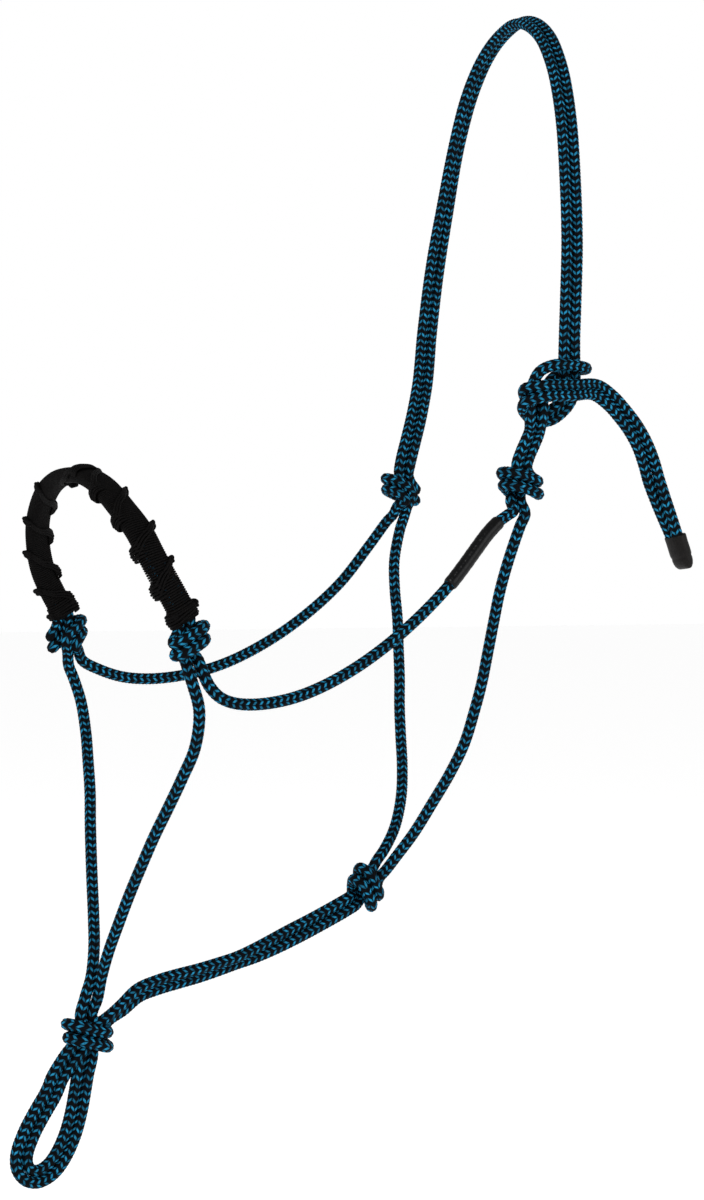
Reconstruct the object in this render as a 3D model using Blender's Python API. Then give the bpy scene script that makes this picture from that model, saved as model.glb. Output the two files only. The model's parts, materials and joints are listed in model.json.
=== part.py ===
"""Knotted rope head halter for a horse. Metres, +Z up, nose toward -X, near (left) side at -Y.

The origin is the poll seat: the underside of the crown at its top, on the middle plane.
Every rope run and every knot is its own body, so that the halter can fold at its knots.
"""
import math

import bpy
import bmesh
from mathutils import Vector

MM = 0.001
ROPE_D = 6.5  # halter rope
SPACING = 6.8  # between the centres of two strands that lie side by side
KNOT_REACH = 15.0  # a run of rope starts this far from the middle of its knot
CHIN_REACH = 19.5
NOSE_CORE_D = 6.0  # nose strands, pulled tight by their whipping
WRAP_CORD = 1.25

# Middle of each knot, in mm. The four hinge lines of the folding halter pass through them along Y.
CHEEK = Vector((-41.5, 0.0, -263.5))
SIDE = Vector((-248.5, 0.0, -347.0))
THROAT = Vector((-102.0, 0.0, -489.5))
CHIN = Vector((-270.5, 0.0, -559.0))
TIE = Vector((-27.0, -78.0, -211.0))
CHEEK_Y, SIDE_Y = 68.5, 82.0

MATERIALS = {
    "rope": ((0.010, 0.115, 0.205), 0.75),
    "whipping": ((0.012, 0.011, 0.012), 0.7),
    "shrink": ((0.010, 0.010, 0.011), 0.25),
    "cap": ((0.016, 0.014, 0.014), 0.5),
}


# ---------------------------------------------------------------- helpers
def clear_scene():
    for ob in list(bpy.data.objects):
        bpy.data.objects.remove(ob, do_unlink=True)


def material(slot):
    mat = bpy.data.materials.get(slot)
    if mat is None:
        colour, rough = MATERIALS[slot]
        mat = bpy.data.materials.new(slot)
        mat.use_nodes = True
        bsdf = mat.node_tree.nodes["Principled BSDF"]
        bsdf.inputs["Base Color"].default_value = (*colour, 1.0)
        bsdf.inputs["Roughness"].default_value = rough
    return mat


def smooth(points, step):
    """Evenly spaced points on a centripetal Catmull-Rom curve through the given ones."""
    pts = [Vector(p) for p in points]
    pts = [2 * pts[0] - pts[1]] + pts + [2 * pts[-1] - pts[-2]]
    fine = []
    for a, b, c, d in zip(pts, pts[1:], pts[2:], pts[3:]):
        t0, t1 = 0.0, math.sqrt((b - a).length)
        t2 = t1 + math.sqrt((c - b).length)
        t3 = t2 + math.sqrt((d - c).length)
        for i in range(24):
            t = t1 + (t2 - t1) * i / 24
            ab = a.lerp(b, (t - t0) / (t1 - t0))
            bc = b.lerp(c, (t - t1) / (t2 - t1))
            cd = c.lerp(d, (t - t2) / (t3 - t2))
            abc = ab.lerp(bc, (t - t0) / (t2 - t0))
            bcd = bc.lerp(cd, (t - t1) / (t3 - t1))
            fine.append(abc.lerp(bcd, (t - t1) / (t2 - t1)))
    fine.append(pts[-2])
    lengths = [0.0]
    for a, b in zip(fine, fine[1:]):
        lengths.append(lengths[-1] + (b - a).length)
    count = max(2, round(lengths[-1] / step))
    out, k = [], 0
    for i in range(count + 1):
        want = lengths[-1] * i / count
        while k < len(fine) - 2 and lengths[k + 1] < want:
            k += 1
        span = lengths[k + 1] - lengths[k]
        out.append(fine[k].lerp(fine[k + 1], (want - lengths[k]) / span if span else 0.0))
    return out


def tangents(path):
    out = []
    for i in range(len(path)):
        a, b = path[max(i - 1, 0)], path[min(i + 1, len(path) - 1)]
        out.append((b - a).normalized())
    return out


def beside(path, sides, offset):
    """The path moved sideways by offset. sides are directions, spread evenly along the path."""
    sides = [Vector(s) for s in sides]
    out = []
    for i, (p, t) in enumerate(zip(path, tangents(path))):
        at = i / (len(path) - 1) * (len(sides) - 1)
        k = min(int(at), len(sides) - 2) if len(sides) > 1 else 0
        s = sides[k].lerp(sides[k + 1], at - k) if len(sides) > 1 else sides[0]
        s = (s - t * s.dot(t)).normalized()
        out.append(p + s * offset)
    return out


def mirrored(points):
    return [Vector((p[0], -p[1], p[2])) for p in points]


def add(ob):
    halter.objects.link(ob)
    return ob


def tube(name, path, diameter=ROPE_D, slot="rope", resolution=2):
    """A round rope along the path, as a capped curve."""
    cu = bpy.data.curves.new(name, "CURVE")
    cu.dimensions = "3D"
    cu.bevel_depth = diameter / 2 * MM
    cu.bevel_resolution = resolution
    cu.use_fill_caps = True
    spline = cu.splines.new("POLY")
    spline.points.add(len(path) - 1)
    for point, p in zip(spline.points, path):
        point.co = (*(Vector(p) * MM), 1.0)
    cu.materials.append(material(slot))
    return add(bpy.data.objects.new(name, cu))


def solid(name, verts, faces, slot):
    me = bpy.data.meshes.new(name)
    me.from_pydata([Vector(v) * MM for v in verts], [], faces)
    bm = bmesh.new()
    bm.from_mesh(me)
    bmesh.ops.recalc_face_normals(bm, faces=bm.faces)
    bm.to_mesh(me)
    bm.free()
    me.materials.append(material(slot))
    return add(bpy.data.objects.new(name, me))


# ---------------------------------------------------------------- knots
# A doubled overhand knot as a pair of strands: the middle of the pair, and the way from strand 1 to
# strand 2. a is across the knot, b toward its face, c up. The pair comes in at the top, passes down
# the middle, turns left, crosses the face, turns right, crosses the back and leaves at the bottom.
OVERHAND = (
    ((0.0, 0.0, 15.0), (1.0, 0.0, 0.0)),
    ((-0.3, 0.0, 9.0), (1.0, 0.0, 0.0)),
    ((-4.0, 0.3, 1.5), (0.7, 0.0, -0.7)),
    ((-9.0, 1.2, -4.0), (0.1, 0.0, -1.0)),
    ((-5.6, 6.2, -2.8), (0.1, 0.0, -1.0)),
    ((0.0, 7.0, 0.0), (0.3, 0.0, -1.0)),
    ((5.6, 6.2, 2.8), (0.1, 0.0, -1.0)),
    ((9.0, 0.0, 4.0), (0.0, 0.0, -1.0)),
    ((5.0, -6.0, 1.5), (0.1, 0.0, -1.0)),
    ((-0.5, -6.6, -4.5), (0.8, 0.0, -0.6)),
    ((0.0, -2.5, -10.0), (1.0, 0.0, 0.0)),
    ((0.0, 0.0, -15.0), (1.0, 0.0, 0.0)),
)


def strands(middle, turn, face=-1.0, wide=1.0, flip=1.0):
    """The two strand routes of a knot. turn is in degrees about Y, face -1 looks to the near side."""
    across = Vector((math.cos(math.radians(turn)), 0.0, math.sin(math.radians(turn))))
    up = Vector((-across.z, 0.0, across.x))
    front = Vector((0.0, face, 0.0))
    routes = []
    for side in (-1.0, 1.0):
        route = []
        for (a, b, c), (oa, ob_, oc) in OVERHAND:
            n = math.sqrt(oa * oa + ob_ * ob_ + oc * oc)
            k = side * SPACING / 2 / n
            a, b, c = a * wide + oa * k, b * (0.5 + wide / 2) + ob_ * k, c + oc * k
            route.append(middle + across * a * flip + front * b + up * c)
        routes.append(route)
    return routes


def knot(name, middle, routes, reach, ports=(), radius=ROPE_D / 2, grid=(26, 13)):
    """One lumpy body: the outside of the knot's strands as seen from its middle. A port is where a
    strand meets the next run of rope: the body grows a neck to just short of it."""
    beads = []
    for route in routes:
        beads += [p - middle for p in smooth(route, 1.6) if (p - middle).length < reach - radius]
    for port in ports:
        way = Vector(port) - middle
        stop = way.length - radius - 0.7
        beads += [way.normalized() * stop * i / 12 for i in range(13)]
        reach = max(reach, way.length)
    columns, rows = grid
    dirs = [Vector((0, 1, 0))]
    for j in range(1, rows):
        polar = math.pi * j / rows
        for i in range(columns):
            round_ = 2 * math.pi * i / columns
            dirs.append(Vector((math.sin(polar) * math.cos(round_), math.cos(polar),
                                math.sin(polar) * math.sin(round_))))
    dirs.append(Vector((0, -1, 0)))
    verts = []
    for n in dirs:
        far = 5.0
        for p in beads:
            along = n.dot(p)
            inside = radius * radius - p.length_squared + along * along
            if inside > 0:
                far = max(far, along + math.sqrt(inside))
        verts.append(middle + n * min(far, reach - 0.6))
    faces = []
    for i in range(columns):
        k = (i + 1) % columns
        faces.append((0, 1 + i, 1 + k))
        for j in range(rows - 2):
            a = 1 + j * columns
            faces.append((a + i, a + columns + i, a + columns + k, a + k))
        last = 1 + (rows - 2) * columns
        faces.append((last + i, len(verts) - 1, last + k))
    return solid(name, verts, faces, "rope")


# ---------------------------------------------------------------- build
clear_scene()
halter = bpy.data.collections.new("head_halter")
bpy.context.scene.collection.children.link(halter)

# Crown: two strands from the far cheek knot over the poll to the tie eye on the near side.
CROWN = (
    (-39.0, 67.0, -247.8), (-35.5, 67.5, -236.0), (-29.5, 71.0, -221.0), (-22.0, 76.0, -198.0),
    (-17.5, 79.5, -172.0), (-13.5, 76.5, -131.0), (-10.0, 71.0, -97.0), (-6.5, 61.5, -56.0),
    (-4.0, 48.5, -26.0), (-2.0, 29.0, -5.0), (-1.0, 0.0, ROPE_D / 2 + 1.3),
    (-1.8, -25.0, -5.0), (-3.5, -43.5, -26.0), (-6.0, -57.5, -57.0), (-9.5, -68.0, -97.0),
    (-12.5, -74.5, -131.0), (-15.5, -78.0, -160.0), (-17.0, -79.0, -184.0),
)
crown = smooth(CROWN, 13.0)
CROWN_SIDES = (
    (-1.0, 0.2, 0.0), (-1.0, 0.1, 0.0), (-1.0, -0.1, 0.0), (-1.0, -0.55, 0.0), (-0.9, -0.25, -0.3),
    (-0.95, 0.1, -0.3), (-1.0, 0.1, 0.0), (-1.0, 0.1, 0.0), (-1.0, 0.1, 0.0),
)
tube("crown_rope_front", beside(crown, CROWN_SIDES, SPACING / 2))
tube("crown_rope_rear", beside(crown, CROWN_SIDES, -SPACING / 2))

# Riser: the doubled run between the near cheek knot and the tie knot.
RISER = ((-39.5, -69.0, -247.8), (-37.0, -70.5, -241.0), (-35.0, -71.5, -235.2))
FORE = ((-1.0, 0.0, 0.0),)
riser = smooth(RISER, 9.0)
tube("riser_rope_front", beside(riser, FORE, SPACING / 2))
tube("riser_rope_rear", beside(riser, FORE, -SPACING / 2))

# Tail: the free ends of the crown strands, hanging behind the tie knot, and their crimped cap.
TAIL = (
    (-2.5, -83.0, -212.0), (3.0, -84.0, -215.0), (11.5, -85.0, -222.5), (22.5, -86.5, -236.0),
    (28.5, -87.5, -248.5), (33.0, -88.5, -263.0), (41.0, -90.0, -283.5), (44.0, -90.4, -290.6),
)
tail = smooth(TAIL, 10.0)

# Tie: the riser's eye, and the crown strands hitched round its neck.
TIE_BEADS = (
    ((-37.0, -72.0, -226.0), (-40.0, -76.0, -214.0), (-38.0, -82.0, -204.0), (-26.0, -86.0, -198.5),
     (-12.0, -84.0, -197.0), (-6.0, -77.0, -199.5), (-12.0, -71.5, -203.0), (-24.0, -70.0, -210.0),
     (-31.0, -72.0, -226.0)),
    ((-18.0, -78.0, -191.0), (-20.0, -77.0, -203.0), (-34.0, -72.0, -213.0), (-45.0, -76.0, -212.0),
     (-42.0, -83.0, -212.0), (-28.0, -85.0, -208.5), (-15.0, -83.0, -209.0)),
    ((-12.0, -78.0, -191.0), (-16.0, -77.0, -208.0), (-34.0, -71.0, -221.0), (-46.5, -76.0, -222.0),
     (-42.0, -83.0, -220.0), (-28.0, -85.0, -216.0), (-15.0, -83.0, -214.0)),
)
knot("tie_knot", TIE, [[Vector(p) for p in r] for r in TIE_BEADS], 27.0, grid=(32, 16),
     ports=(crown[-1] + Vector((-3.4, 0, -1)), crown[-1] + Vector((3.4, 0, -1)),
            riser[-1] + Vector((-3.4, 0, 1.6)), riser[-1] + Vector((3.4, 0, 1)), tail[0]))

TAIL_SIDES = ((0.65, 0.0, 0.75), (0.85, 0.0, 0.5), (0.9, -0.2, 0.3), (0.55, -0.85, 0.2), (0.1, -1.0, 0.0))
tube("tail_rope_front", beside(tail, TAIL_SIDES, -SPACING / 2))
tube("tail_rope_rear", beside(tail, TAIL_SIDES, SPACING / 2))


def end_cap():
    """A sleeve crimped on both tail ends, closed by a chisel tip. Oval across, 16 sides."""
    start, along = Vector((45.2, -90.5, -291.9)), Vector((0.32, -0.06, -0.95)).normalized()
    wide = Vector((0.1, -1.0, 0.0))
    wide = (wide - along * wide.dot(along)).normalized()
    thin = along.cross(wide)
    rings = ((0.0, 6.8, 4.0), (0.8, 7.3, 4.4), (11.0, 7.4, 4.5), (12.5, 6.9, 4.1), (14.0, 7.1, 4.2),
             (17.5, 6.6, 3.2), (19.6, 5.2, 1.2))
    verts, faces, n = [], [], 16
    for at, w, t in rings:
        for i in range(n):
            ang = 2 * math.pi * i / n
            c, s = math.cos(ang), math.sin(ang)
            verts.append(start + along * at + wide * w * abs(c) ** 0.8 * math.copysign(1, c)
                         + thin * t * abs(s) ** 0.8 * math.copysign(1, s))
    for j in range(len(rings) - 1):
        for i in range(n):
            a, b = j * n + i, j * n + (i + 1) % n
            faces.append((a, b, b + n, a + n))
    faces.append(tuple(range(n)))
    faces.append(tuple(range(len(verts) - n, len(verts))))
    return solid("tail_cap", verts, faces, "cap")


end_cap()

# Cheek and side knots, the same on both sides apart from which face looks outward.
for side, sign in (("near", -1.0), ("far", 1.0)):
    cheek = CHEEK + Vector((sign * 1.0, sign * CHEEK_Y, 0))
    knot(f"cheek_knot_{side}", cheek, strands(cheek, -6.0, face=sign), KNOT_REACH)
    low = SIDE + Vector((0, sign * SIDE_Y, 0))
    knot(f"side_knot_{side}", low, strands(low, 14.0, face=sign), KNOT_REACH)

# Cheek ropes. The near one carries the shrink sleeve and sags a little lower.
NEAR_CHEEK = (
    (-46.6, -68.5, -278.6), (-50.5, -69.0, -281.0), (-60.0, -70.5, -287.0), (-91.0, -73.0, -320.5),
    (-121.0, -74.5, -345.5), (-152.0, -76.5, -364.5), (-182.0, -79.0, -377.0), (-206.0, -81.0, -381.5),
    (-222.5, -82.5, -380.8), (-231.5, -83.0, -377.6), (-237.5, -83.0, -371.5), (-240.7, -82.5, -363.6),
)
FAR_CHEEK = (
    (-46.4, 68.5, -278.4), (-50.0, 69.5, -282.3), (-61.0, 71.0, -296.5), (-80.5, 72.5, -319.5),
    (-106.0, 74.5, -340.5), (-131.5, 76.5, -356.0), (-154.5, 78.5, -366.0), (-177.0, 80.0, -371.5),
    (-198.0, 81.5, -373.4), (-214.5, 82.5, -372.0), (-229.0, 82.5, -367.5), (-239.2, 82.3, -362.2),
)
near_cheek = smooth(NEAR_CHEEK, 11.5)
tube("cheek_rope_near", near_cheek)
tube("cheek_rope_far", smooth(FAR_CHEEK, 11.5))


def shrink_sleeve(path, first, last, inner=ROPE_D + 0.7, wall=0.35):
    """A thin tube round the rope between two places along its path, open at both ends."""
    run, n = smooth(path, 4.0)[first:last], 14
    verts, faces = [], []
    ways = tangents(run)
    side = Vector((0, 1, 0))
    for p, t in zip(run, ways):
        u = (side - t * side.dot(t)).normalized()
        w = t.cross(u)
        for radius in (inner / 2, inner / 2 + wall):
            for i in range(n):
                ang = 2 * math.pi * i / n
                verts.append(p + (u * math.cos(ang) + w * math.sin(ang)) * radius)
    for j in range(len(run) - 1):
        for i in range(n):
            a, k = j * 2 * n + i, j * 2 * n + (i + 1) % n
            faces.append((a, k, k + 2 * n, a + 2 * n))
            faces.append((a + n, a + 3 * n, k + 3 * n, k + n))
    for base in (0, (len(run) - 1) * 2 * n):
        for i in range(n):
            faces.append((base + i, base + (i + 1) % n, base + (i + 1) % n + n, base + i + n))
    return solid("sleeve", verts, faces, "shrink")


shrink_sleeve(near_cheek, 3, 16)

# Noseband: two strands under a tight whipping, from one side knot over the nose to the other.
NOSE = (
    (-252.2, -82.0, -332.4), (-256.5, -82.0, -325.0), (-262.8, -80.5, -313.5), (-267.0, -77.0, -303.5),
    (-271.0, -70.0, -291.0), (-274.6, -58.0, -280.0), (-277.2, -39.0, -268.0), (-278.2, -19.0, -262.0),
    (-278.6, 0.0, -260.6),
)
NOSE_SIDES = ((1.0, 0.0, 0.35), (1.0, 0.0, 0.15), (1.0, 0.1, 0.05), (1.0, 0.5, 0.15), (1.0, 0.2, 0.35))
nose_all = list(NOSE) + [tuple(p) for p in mirrored(NOSE[:-1])][::-1]
nose = smooth(nose_all, 8.0)
HALF_CORE = NOSE_CORE_D / 2 + 0.2
tube("nose_rope_front", beside(nose, NOSE_SIDES, -HALF_CORE), NOSE_CORE_D)
tube("nose_rope_rear", beside(nose, NOSE_SIDES, HALF_CORE), NOSE_CORE_D)


def nose_whipping():
    """The whipping as one oval sleeve round both nose strands, open at both ends, with a raised
    band at each hitch."""
    run = smooth(nose_all, 4.0)
    ways, n = tangents(run), 16
    verts, faces = [], []
    hitches = 11
    for j, (p, t) in enumerate(zip(run, ways)):
        at = j / (len(run) - 1)
        k = at * 4
        i0 = min(int(k), 3)
        side = Vector(NOSE_SIDES[i0]).lerp(Vector(NOSE_SIDES[i0 + 1]), k - i0)
        side = (side - t * side.dot(t)).normalized()
        thin = t.cross(side)
        phase = abs(((at * hitches) % 1.0) - 0.5) * 2
        swell = 0.9 * max(0.0, 1 - phase * 3.2)
        for extra in (0.0, 1.0):
            w = NOSE_CORE_D + 0.75 + extra * (0.75 + swell)
            h = NOSE_CORE_D / 2 + 0.55 + extra * (0.75 + swell * 0.6)
            for i in range(n):
                ang = 2 * math.pi * i / n
                c, s = math.cos(ang), math.sin(ang)
                verts.append(p + side * w * math.copysign(abs(c) ** 0.75, c)
                             + thin * h * math.copysign(abs(s) ** 0.62, s))
    for j in range(len(run) - 1):
        for i in range(n):
            a, k = j * 2 * n + i, j * 2 * n + (i + 1) % n
            faces.append((a, k, k + 2 * n, a + 2 * n))
            faces.append((a + n, a + 3 * n, k + 3 * n, k + n))
    for base in (0, (len(run) - 1) * 2 * n):
        for i in range(n):
            faces.append((base + i, base + (i + 1) % n, base + (i + 1) % n + n, base + i + n))
    return solid("nose_whipping", verts, faces, "whipping")


nose_whipping()

# Throat ropes, from the cheek knots down to the throat knot.
THROAT_ROPE = (
    (-38.8, -68.5, -279.2), (-42.0, -68.0, -287.0), (-47.5, -65.0, -305.5), (-50.0, -60.0, -322.5),
    (-51.0, -55.0, -339.5), (-52.5, -51.0, -357.0), (-54.0, -47.0, -374.0), (-56.5, -42.5, -391.0),
    (-59.0, -36.5, -408.0), (-63.0, -27.5, -425.0),
)
THROAT_NEAR = ((-68.5, -17.5, -442.0), (-75.5, -8.5, -459.5), (-83.0, -3.0, -472.0), (-88.8, -0.5, -480.2))
THROAT_FAR = ((-70.5, 17.5, -441.5), (-80.0, 8.5, -458.0), (-89.5, 3.0, -469.5), (-94.6, 0.5, -475.2))
tube("throat_rope_near", smooth(THROAT_ROPE + THROAT_NEAR, 12.0))
tube("throat_rope_far", smooth(mirrored(THROAT_ROPE) + list(THROAT_FAR), 12.0))
knot("throat_knot", THROAT, strands(THROAT, -42.0, wide=1.0), KNOT_REACH)

# Chin ropes, from the side knots down to the chin knot.
CHIN_NEAR = (
    (-248.0, -82.0, -363.8), (-246.2, -82.5, -370.0), (-242.3, -81.5, -383.0), (-241.6, -75.0, -402.0),
    (-244.3, -65.0, -418.5), (-247.5, -54.5, -434.5), (-251.2, -44.5, -450.5), (-254.5, -35.5, -466.5),
    (-257.5, -26.5, -482.5), (-259.8, -17.5, -498.5), (-261.8, -8.5, -514.5), (-263.4, -2.5, -529.0),
    (-264.8, -0.5, -540.0),
)
CHIN_FAR = (
    (-248.0, 82.0, -363.8), (-244.5, 82.5, -372.0), (-240.5, 81.5, -385.0), (-240.0, 75.5, -402.0),
    (-242.5, 66.0, -418.5), (-245.7, 55.5, -434.5), (-249.7, 45.5, -450.5), (-253.2, 36.0, -466.5),
    (-256.5, 26.5, -482.5), (-260.2, 17.5, -498.5), (-264.0, 8.5, -514.5), (-268.2, 2.5, -529.0),
    (-271.5, 0.5, -539.4),
)
tube("chin_rope_near", smooth(CHIN_NEAR, 12.0))
tube("chin_rope_far", smooth(CHIN_FAR, 12.0))

# Jaw strap, doubled, from the throat knot to the chin knot.
JAW = (
    (-115.5, 0.0, -499.5), (-129.0, 0.0, -505.5), (-143.5, 0.0, -511.5), (-174.0, 0.0, -523.0),
    (-204.0, 0.0, -530.5), (-228.0, 0.0, -535.0), (-242.0, 0.0, -539.5), (-250.4, 0.0, -546.2),
)
jaw = smooth(JAW, 12.0)
JAW_SIDES = ((-0.2, 0.0, 1.0), (-0.2, 0.1, 1.0), (-0.2, -0.7, 0.8), (0.1, -0.5, 1.0), (0.5, -0.3, 0.8))
tube("jaw_rope_upper", beside(jaw, JAW_SIDES, SPACING / 2))
tube("jaw_rope_lower", beside(jaw, JAW_SIDES, -SPACING / 2))

# Lead loop: two strands round the eye where a lead rope is tied.
LOOP = (
    (-287.8, 0.0, -581.0), (-291.2, 0.0, -588.5), (-297.7, 0.0, -598.5), (-304.3, 0.0, -610.0),
    (-308.0, 0.0, -621.5), (-305.8, 0.0, -629.3), (-299.0, 0.0, -632.0), (-291.8, 0.0, -629.0),
    (-286.0, 0.0, -622.5), (-280.4, 0.0, -611.5), (-277.0, 0.0, -600.3), (-274.8, 0.0, -589.5),
    (-273.2, 0.0, -580.5),
)
LOOP_SIDES = ((-1, 0, 0.4), (-1, 0, 0.3), (-1, 0, 0.2), (-1, 0, 0), (-0.4, 0, -1), (0.2, 0, -1),
              (1, 0, -0.7), (1, 0, -0.3), (1, 0, -0.1), (1, 0, 0))
loop = smooth(LOOP, 5.0)
tube("lead_loop_outer", beside(loop, LOOP_SIDES, SPACING / 2))
tube("lead_loop_inner", beside(loop, LOOP_SIDES, -SPACING / 2))

# Chin knot: both chin ropes, both jaw strands and all four loop strands meet in it.
chin_routes = strands(CHIN, 6.0, wide=1.42, flip=-1.0)
chin_routes += strands(CHIN + Vector((2.5, 0, 0)), 6.0, wide=0.6, flip=-1.0)
ends = [Vector(p) for p in (CHIN_NEAR[-1], CHIN_FAR[-1])]
ends += [Vector(p) for p in (LOOP[0], LOOP[-1])]
knot("chin_knot", CHIN, chin_routes, CHIN_REACH, ports=ends, radius=ROPE_D / 2 + 0.4)
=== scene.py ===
"""Looks of the knotted rope head halter. Metres, +Z up, nose toward -X, near (left) side at -Y.

The whole halter is one rope. Its route is laid once, run by run and knot by knot, and then cut into
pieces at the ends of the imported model's runs, so that its braid carries on through every knot.
"""
import json
import math

import bpy
import numpy as np
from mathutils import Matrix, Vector


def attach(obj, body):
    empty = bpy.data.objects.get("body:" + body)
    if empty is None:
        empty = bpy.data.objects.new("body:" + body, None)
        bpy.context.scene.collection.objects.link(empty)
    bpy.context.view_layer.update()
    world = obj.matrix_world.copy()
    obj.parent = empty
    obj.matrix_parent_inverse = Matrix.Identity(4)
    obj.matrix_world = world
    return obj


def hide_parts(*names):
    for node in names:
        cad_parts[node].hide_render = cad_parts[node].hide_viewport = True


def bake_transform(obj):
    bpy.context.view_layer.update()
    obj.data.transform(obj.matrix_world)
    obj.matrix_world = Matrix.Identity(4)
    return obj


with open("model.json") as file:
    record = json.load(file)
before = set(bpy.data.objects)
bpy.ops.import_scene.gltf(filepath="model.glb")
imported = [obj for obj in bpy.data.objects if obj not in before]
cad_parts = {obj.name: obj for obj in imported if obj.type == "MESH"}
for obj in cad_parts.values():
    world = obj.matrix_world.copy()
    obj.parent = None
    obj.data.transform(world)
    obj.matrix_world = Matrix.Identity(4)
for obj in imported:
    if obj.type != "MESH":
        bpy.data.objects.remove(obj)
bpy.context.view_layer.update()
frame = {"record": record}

# ---------------------------------------------------------------- sizes
ROPE_R = 0.00325  # halter rope
SPACING = 0.0063  # between the centres of two strands that lie side by side
STITCH = 0.00202  # length of rope from one carrier of the braid to the next
COLUMNS = 8  # columns of stitches round the rope
ROUND = 40  # corners round the rope
RING = 0.00055  # from one ring of corners to the next
RELIEF = 0.00042  # depth of the grooves between stitches
NOSE_R = 0.0030  # nose strands, pulled tight by their whipping
NOSE_HALF = 0.0032  # from the middle of the noseband to each of its strands
WRAP_R = 0.00062  # whipping cord
WRAP_PITCH = 0.0013
INTO_CAP = 0.0045  # how far the tail strands go on inside the cap
INTO_KNOT = 0.006  # how far the whipping goes on inside each side knot

# Middle of each knot, and how far to each side the cheek and side knots are.
CHEEK = np.array((-0.0415, 0.0, -0.2635))
SIDE = np.array((-0.2485, 0.0, -0.347))
THROAT = np.array((-0.102, 0.0, -0.4895))
CHIN = np.array((-0.2705, 0.0, -0.559))
CHEEK_Y, SIDE_Y = 0.0685, 0.082

# ---------------------------------------------------------------- routes
# Middle line of each run of rope, and the way from one strand of a doubled run to the other.
CROWN = (
    (-0.039, 0.067, -0.2478), (-0.0355, 0.0675, -0.236), (-0.0295, 0.071, -0.221),
    (-0.022, 0.076, -0.198), (-0.0175, 0.0795, -0.172), (-0.0135, 0.0765, -0.131),
    (-0.01, 0.071, -0.097), (-0.0065, 0.0615, -0.056), (-0.004, 0.0485, -0.026),
    (-0.002, 0.029, -0.005), (-0.001, 0, 0.0046), (-0.0018, -0.025, -0.005), (-0.0035, -0.0435, -0.026),
    (-0.006, -0.0575, -0.057), (-0.0095, -0.068, -0.097), (-0.0125, -0.0745, -0.131),
    (-0.0155, -0.078, -0.16), (-0.017, -0.079, -0.184),
)

CROWN_SIDES = (
    (-1, 0.2, 0), (-1, 0.1, 0), (-1, -0.1, 0), (-1, -0.55, 0), (-0.9, -0.25, -0.3), (-0.95, 0.1, -0.3),
    (-1, 0.1, 0), (-1, 0.1, 0), (-1, 0.1, 0),
)

RISER = (
    (-0.0395, -0.069, -0.2478), (-0.037, -0.0705, -0.241), (-0.035, -0.0715, -0.2352),
)

FORE = (
    (-1, 0, 0),
)

TAIL = (
    (-0.0025, -0.083, -0.212), (0.003, -0.084, -0.215), (0.0115, -0.085, -0.2225),
    (0.0225, -0.0865, -0.236), (0.0285, -0.0875, -0.2485), (0.033, -0.0885, -0.263),
    (0.041, -0.09, -0.2835), (0.044, -0.0904, -0.2906),
)

TAIL_SIDES = (
    (0.65, 0, 0.75), (0.85, 0, 0.5), (0.9, -0.2, 0.3), (0.55, -0.85, 0.2), (0.1, -1, 0),
)

NEAR_CHEEK = (
    (-0.0466, -0.0685, -0.2786), (-0.0505, -0.069, -0.281), (-0.06, -0.0705, -0.287),
    (-0.091, -0.073, -0.3205), (-0.121, -0.0745, -0.3455), (-0.152, -0.0765, -0.3645),
    (-0.182, -0.079, -0.3764), (-0.206, -0.081, -0.3804), (-0.2225, -0.0825, -0.3796),
    (-0.2312, -0.083, -0.3764), (-0.237, -0.083, -0.3708), (-0.2407, -0.0825, -0.3636),
)

FAR_CHEEK = (
    (-0.0464, 0.0685, -0.2784), (-0.05, 0.0695, -0.2823), (-0.061, 0.071, -0.2965),
    (-0.0805, 0.0725, -0.3195), (-0.106, 0.0745, -0.3405), (-0.1315, 0.0765, -0.356),
    (-0.1545, 0.0785, -0.366), (-0.177, 0.08, -0.3715), (-0.198, 0.0815, -0.3734),
    (-0.2145, 0.0825, -0.372), (-0.229, 0.0825, -0.3675), (-0.2392, 0.0823, -0.3622),
)

NOSE = (
    (-0.2522, -0.082, -0.3324), (-0.2565, -0.082, -0.325), (-0.2628, -0.0805, -0.3135),
    (-0.267, -0.077, -0.3035), (-0.271, -0.07, -0.291), (-0.2746, -0.058, -0.28),
    (-0.2772, -0.039, -0.268), (-0.2782, -0.019, -0.262), (-0.2786, 0, -0.2606),
)

NOSE_SIDES = (
    (1, 0, 0.35), (1, 0, 0.15), (1, 0.1, 0.05), (1, 0.5, 0.15), (1, 0.2, 0.35),
)

THROAT_ROPE = (
    (-0.0392, -0.0685, -0.2802), (-0.042, -0.068, -0.287), (-0.0475, -0.065, -0.3055),
    (-0.05, -0.06, -0.3225), (-0.051, -0.055, -0.3395), (-0.0525, -0.051, -0.357),
    (-0.054, -0.047, -0.374), (-0.0565, -0.0425, -0.391), (-0.059, -0.0365, -0.408),
    (-0.063, -0.0275, -0.425),
)

THROAT_NEAR = (
    (-0.0685, -0.0175, -0.442), (-0.0755, -0.0085, -0.4595), (-0.083, -0.003, -0.472),
    (-0.0888, -0.0005, -0.4802),
)

THROAT_FAR = (
    (-0.0693, 0.0175, -0.4415), (-0.0786, 0.0085, -0.458), (-0.0884, 0.003, -0.4695),
    (-0.0946, 0.0005, -0.4752),
)

CHIN_NEAR = (
    (-0.2478, -0.082, -0.3649), (-0.2462, -0.0825, -0.37), (-0.2423, -0.0815, -0.383),
    (-0.2416, -0.075, -0.402), (-0.2443, -0.065, -0.4185), (-0.2475, -0.0545, -0.4345),
    (-0.2512, -0.0445, -0.4505), (-0.2545, -0.0355, -0.4665), (-0.2575, -0.0265, -0.4825),
    (-0.2598, -0.0175, -0.4985), (-0.2618, -0.0085, -0.5145), (-0.2634, -0.0025, -0.529),
    (-0.2648, -0.0005, -0.54),
)

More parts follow.
